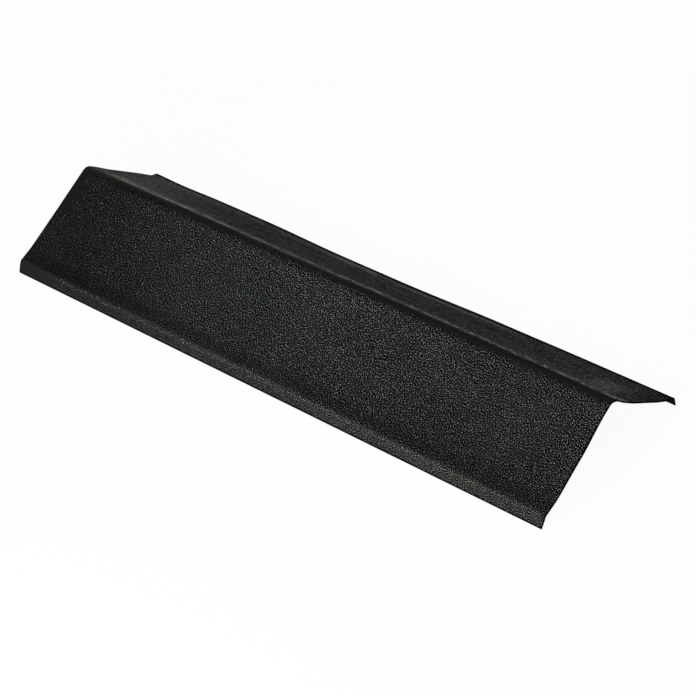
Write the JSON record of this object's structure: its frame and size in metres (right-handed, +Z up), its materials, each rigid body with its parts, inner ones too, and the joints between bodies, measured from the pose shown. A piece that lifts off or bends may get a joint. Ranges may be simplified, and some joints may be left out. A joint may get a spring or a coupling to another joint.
{
  "type": "verge flashing",
  "caption": "Verge flashing for a metal tile roof: a length of chip-coated steel sheet folded into a broad face with a bottom lip and a flange with a raised, lipped edge.",
  "frame": {"origin": "middle of the footprint, on the floor that the two long edges stand on", "axes": "+X along the length, +Z up at rest, the broad face looks towards -Y and the flange towards +Y"},
  "size_m": [0.91, 0.2896, 0.0959],
  "materials": {
    "chip_coated_steel": "satin black coat on steel sheet, with fine charcoal stone chips on the weather side"
  },
  "bodies": {
    "root": {"verge_flashing": "chip_coated_steel"}
  },
  "joints": []
}
